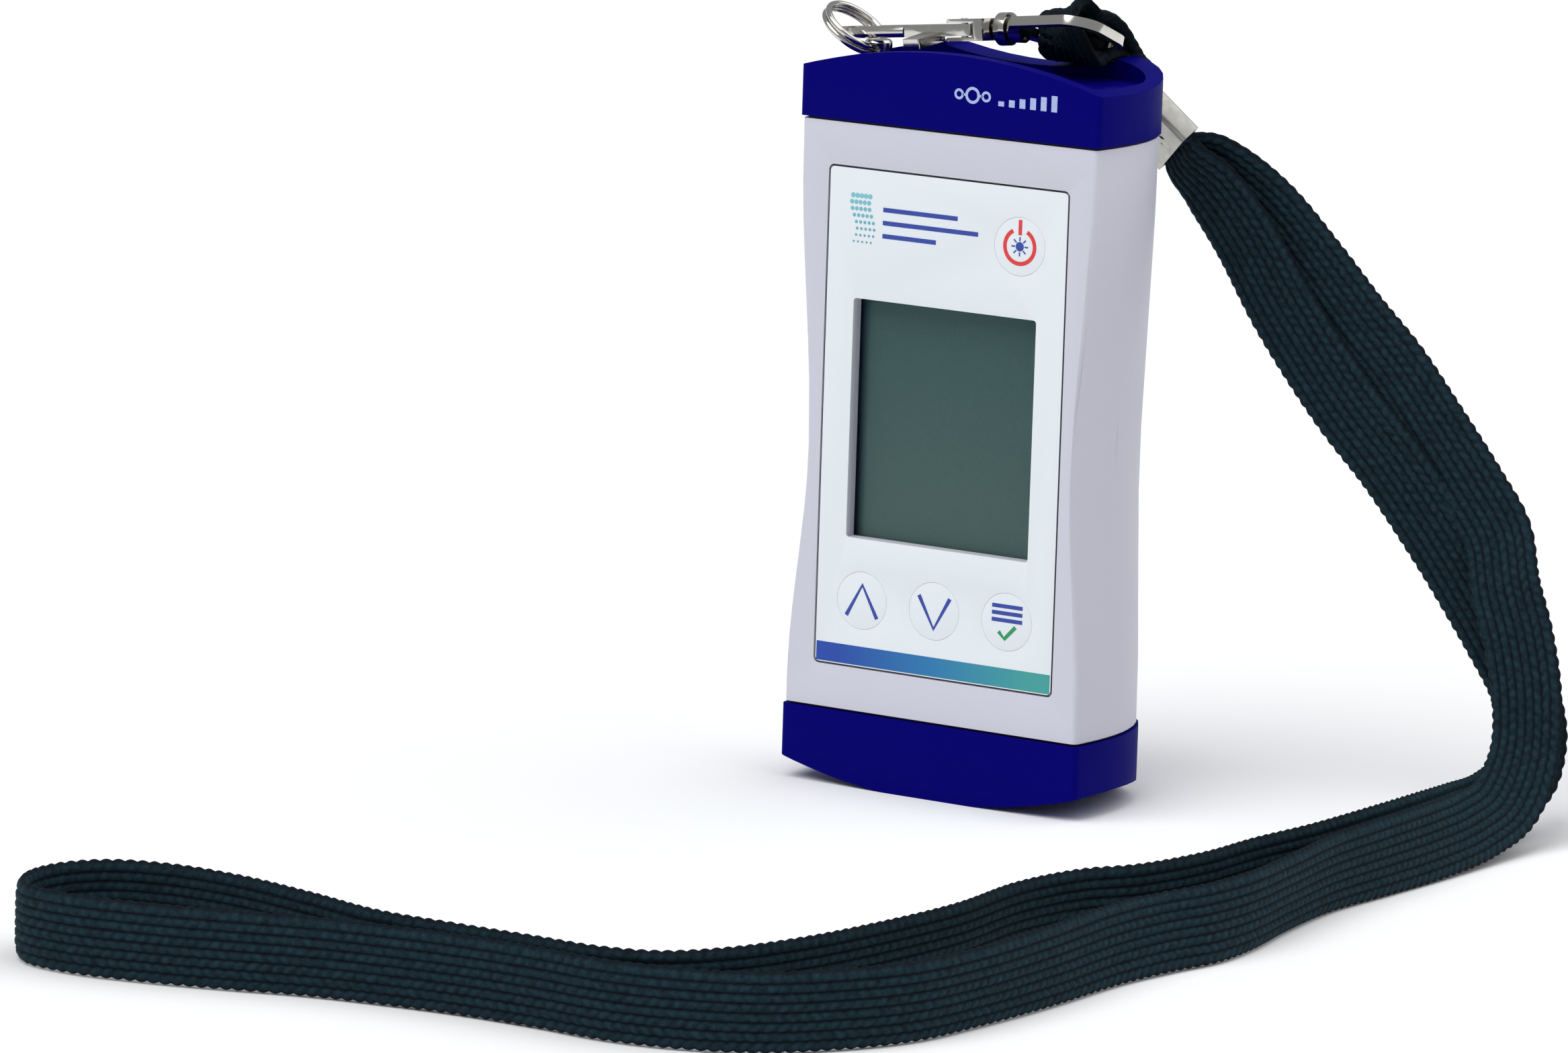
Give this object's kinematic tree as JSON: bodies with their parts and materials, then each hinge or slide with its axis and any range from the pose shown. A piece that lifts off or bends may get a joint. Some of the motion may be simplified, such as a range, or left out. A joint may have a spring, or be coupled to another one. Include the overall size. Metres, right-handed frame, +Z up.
{
  "type": "carbon dioxide monitor",
  "caption": "Handheld carbon dioxide meter with a display window, round foil keys, a blue top and bottom cap, and a snap hook on a braided lanyard.",
  "frame": {"origin": "middle of the small flat foot under the bottom cap, at mid width and mid depth of the housing", "axes": "+Z up the housing, front face and keys towards -Y, +X to the right as seen from the front"},
  "size_m": [0.1265, 0.2123, 0.1157],
  "materials": {
    "grey_plastic": "light lavender grey with a fine satin texture",
    "blue_plastic": "deep ultramarine, semi-gloss",
    "seal_rubber": "dark, matt",
    "printed_foil": "white printed foil, semi-gloss",
    "clear_window": "clear, glossy",
    "display_glass": "grey-green liquid crystal display, glossy",
    "display_light": "milky light guide",
    "circuit_board": "green circuit board",
    "black_plastic": "black, matt",
    "gold_cell": "gold-toned metal housing",
    "membrane": "white porous membrane",
    "battery_skin": "plain printed sleeve",
    "nickel": "bright nickel plate",
    "steel": "bright steel",
    "strap_fabric": "near-black braided tape with a dark teal cast"
  },
  "bodies": {
    "meter": {"housing_sleeve": "grey_plastic", "top_cap": "blue_plastic", "bottom_cap": "blue_plastic", "bottom_gasket": "seal_rubber", "top_gasket": "seal_rubber", "cap_screw_left": "steel", "cap_screw_right": "steel", "front_foil": "printed_foil", "power_switch": "black_plastic", "up_switch": "black_plastic", "down_switch": "black_plastic", "menu_switch": "black_plastic", "display_window": "clear_window", "display_glass": "display_glass", "display_backlight": "display_light", "display_connector_strip": "seal_rubber", "main_board": "circuit_board", "processor_chip": "black_plastic", "buzzer": "black_plastic", "gas_cell": "gold_cell", "inlet_membrane": "membrane", "battery_cradle": "black_plastic", "battery_left": "battery_skin", "battery_right": "battery_skin", "battery_spring_left": "steel", "battery_spring_right": "steel", "bridge_contact": "steel", "upper_contact_left": "steel", "upper_contact_right": "steel", "lanyard_post": "nickel", "post_clip": "steel", "swivel_eye": "nickel", "crimp_sleeve": "nickel", "lanyard_strap": "strap_fabric", "eye_strap": "strap_fabric"},
    "power_key": {"power_key": "printed_foil"},
    "up_key": {"up_key": "printed_foil"},
    "down_key": {"down_key": "printed_foil"},
    "menu_key": {"menu_key": "printed_foil"},
    "split_ring": {"split_ring": "nickel"},
    "snap_hook": {"hook_body": "nickel", "gate_pin": "steel"},
    "hook_gate": {"hook_gate": "nickel"}
  },
  "joints": [
    {"name": "power_press", "type": "slide", "parent": "meter", "child": "power_key", "axis": [0, 1, 0], "range_m": [0, 0.00025], "stiffness_N_per_m": 400},
    {"name": "up_press", "type": "slide", "parent": "meter", "child": "up_key", "axis": [0, 1, 0], "range_m": [0, 0.00025], "stiffness_N_per_m": 400},
    {"name": "down_press", "type": "slide", "parent": "meter", "child": "down_key", "axis": [0, 1, 0], "range_m": [0, 0.00025], "stiffness_N_per_m": 400},
    {"name": "menu_press", "type": "slide", "parent": "meter", "child": "menu_key", "axis": [0, 1, 0], "range_m": [0, 0.00025], "stiffness_N_per_m": 400},
    {"name": "ring_swing", "type": "hinge", "parent": "meter", "child": "split_ring", "pos_m": [-0.02, -0.0012, 0.1055], "axis": [0, 1, 0], "range_deg": [-4, 5]},
    {"name": "hook_swivel", "type": "hinge", "parent": "meter", "child": "snap_hook", "pos_m": [-0.0003, 0.0016, 0.1103], "axis": [0.994, 0, 0.1097], "range_deg": [-4, 2.5]},
    {"name": "gate_open", "type": "hinge", "parent": "snap_hook", "child": "hook_gate", "pos_m": [-0.00471, -0.00259, 0.11011], "axis": [0.1095, -0.0698, -0.9915], "range_deg": [0, 20], "stiffness_Nm_per_rad": 0.002, "springref_deg": -11.46}
  ]
}
